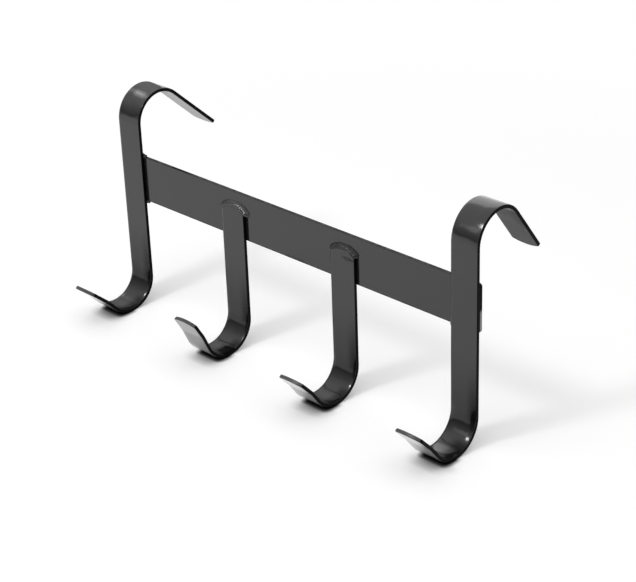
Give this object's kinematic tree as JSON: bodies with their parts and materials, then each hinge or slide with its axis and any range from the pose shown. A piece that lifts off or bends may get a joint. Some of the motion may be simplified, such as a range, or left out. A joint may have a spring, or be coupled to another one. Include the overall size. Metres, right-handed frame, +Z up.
{
  "type": "tack hanger",
  "caption": "Over-rail tack hanger: a flat cross bar between S-shaped end hooks, with more hooks welded to its front, all flat steel bar coated black.",
  "frame": {"origin": "on the axis of the rail that the two end hooks hang over, half way along the cross bar", "axes": "+X along the cross bar, -Y towards the open side of the hooks, +Y where the rail hooks reach back, +Z up"},
  "size_m": [0.385, 0.1524, 0.1885],
  "materials": {
    "coated_steel": "semi-gloss black coat, dipped or sprayed, slightly uneven",
    "coated_weld": "semi-gloss black coat over a lumpy weld bead"
  },
  "bodies": {
    "root": {"cross_bar": "coated_steel", "left_end_hook": "coated_steel", "left_inner_hook": "coated_steel", "right_inner_hook": "coated_steel", "right_end_hook": "coated_steel", "left_end_hook_upper_weld": "coated_weld", "left_end_hook_lower_weld": "coated_weld", "left_inner_hook_shoulder_weld": "coated_weld", "left_inner_hook_lower_weld": "coated_weld", "right_inner_hook_shoulder_weld": "coated_weld", "right_inner_hook_lower_weld": "coated_weld", "right_end_hook_upper_weld": "coated_weld", "right_end_hook_lower_weld": "coated_weld"}
  },
  "joints": []
}
